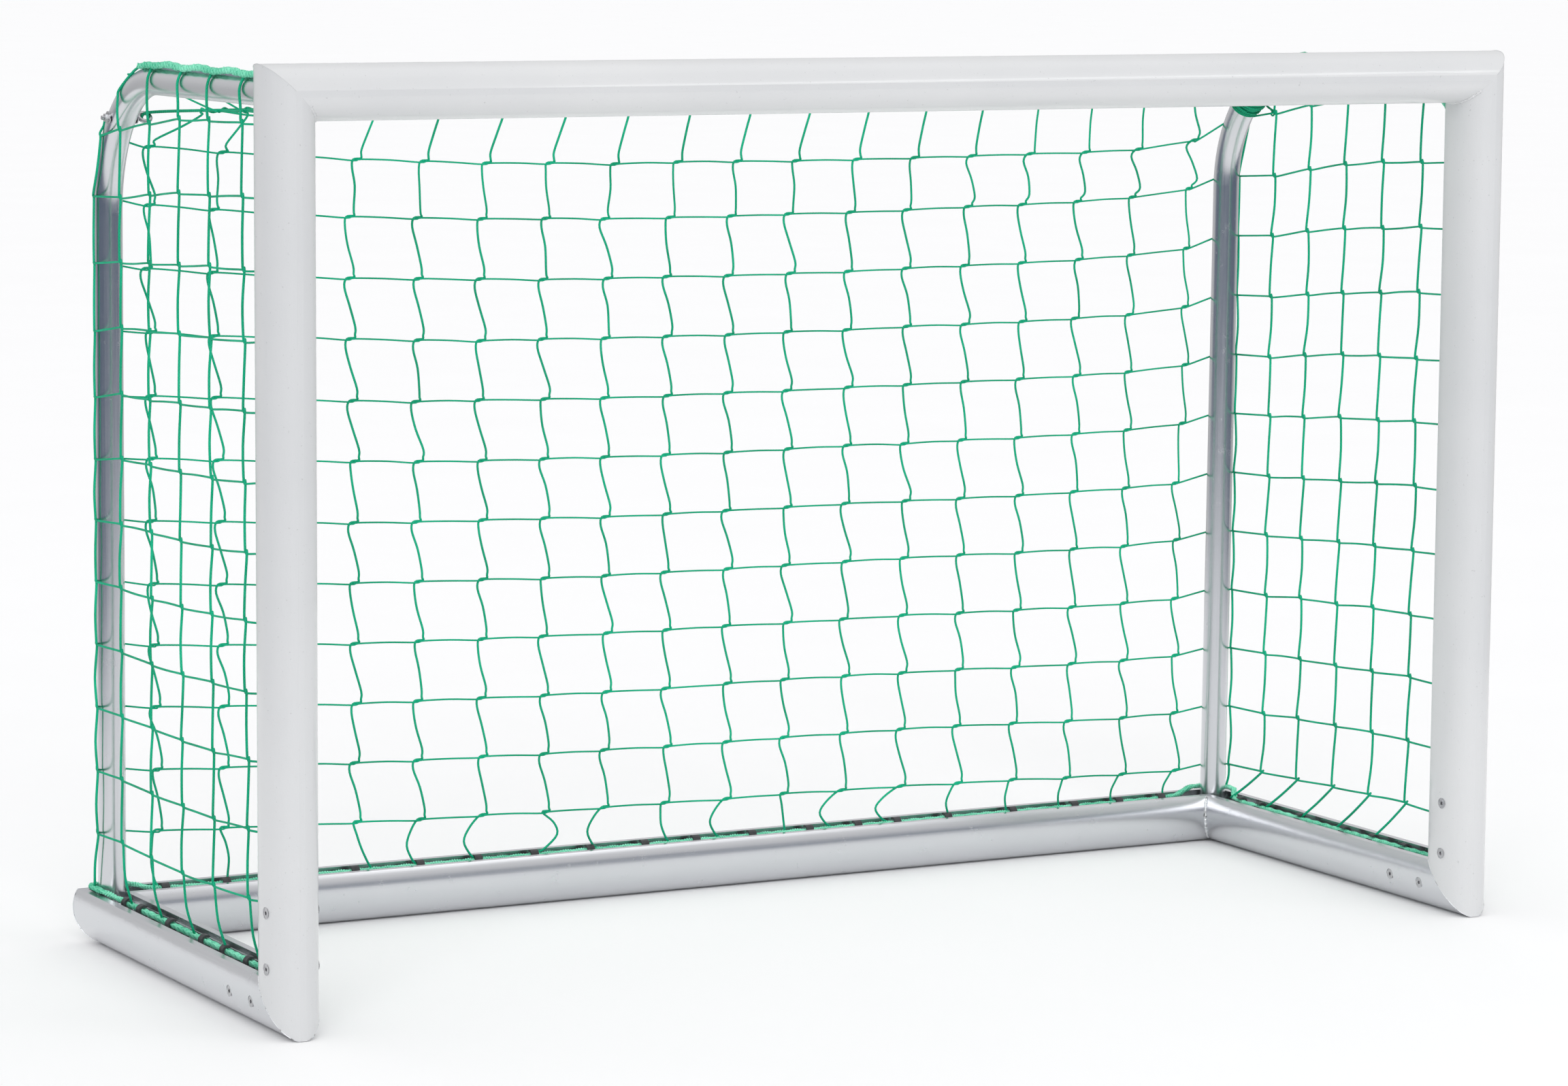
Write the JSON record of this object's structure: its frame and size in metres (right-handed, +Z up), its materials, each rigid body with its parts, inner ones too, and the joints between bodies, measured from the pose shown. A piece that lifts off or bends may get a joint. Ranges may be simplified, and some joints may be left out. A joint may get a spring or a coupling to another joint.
{
  "type": "soccer goal",
  "caption": "Small free-standing soccer goal: white oval-tube front frame, aluminium ground frame, bent net brackets and a green net held in grooves by clips.",
  "frame": {"origin": "on the ground, under the middle of the goal's outer box", "axes": "+X to the right as the striker sees the goal, +Y from the goal mouth to the back, +Z up"},
  "size_m": [1.95, 0.75, 1.275],
  "materials": {
    "white_coating": "satin white powder coat",
    "bare_aluminium": "satin mill finish, lightly scuffed",
    "cast_aluminium": "rough cast",
    "zinc_steel": "bright zinc",
    "black_plastic": "matt moulded nylon",
    "net_twine": "knotless green polypropylene twine",
    "edge_rope": "crocheted light green rope"
  },
  "bodies": {
    "root": {"left_post": "white_coating", "right_post": "white_coating", "crossbar": "white_coating", "top_corner_welds": "white_coating", "left_ground_rail": "bare_aluminium", "right_ground_rail": "bare_aluminium", "rear_ground_rail": "bare_aluminium", "rear_corner_welds": "bare_aluminium", "bracket_foot_welds": "bare_aluminium", "bracket_top_welds": "bare_aluminium", "left_net_bracket": "bare_aluminium", "right_net_bracket": "bare_aluminium", "left_corner_connector": "cast_aluminium", "right_corner_connector": "cast_aluminium", "left_outer_corner_screws": "zinc_steel", "left_inner_corner_screws": "zinc_steel", "right_outer_corner_screws": "zinc_steel", "right_inner_corner_screws": "zinc_steel", "left_eye_bolt": "zinc_steel", "right_eye_bolt": "zinc_steel", "left_eye_bolt_washers": "zinc_steel", "right_eye_bolt_washers": "zinc_steel", "left_eye_bolt_nut": "zinc_steel", "right_eye_bolt_nut": "zinc_steel", "rear_rail_net_clips": "black_plastic", "left_rail_net_clips": "black_plastic", "right_rail_net_clips": "black_plastic", "left_post_net_clips": "black_plastic", "right_post_net_clips": "black_plastic", "crossbar_net_clips": "black_plastic", "back_net": "net_twine", "roof_net": "net_twine", "left_side_net": "net_twine", "right_side_net": "net_twine", "rope_hank": "net_twine", "tension_rope": "net_twine", "ground_edge_rope": "edge_rope", "front_edge_rope": "edge_rope", "left_bracket_edge_rope": "edge_rope", "right_bracket_edge_rope": "edge_rope"}
  },
  "joints": []
}
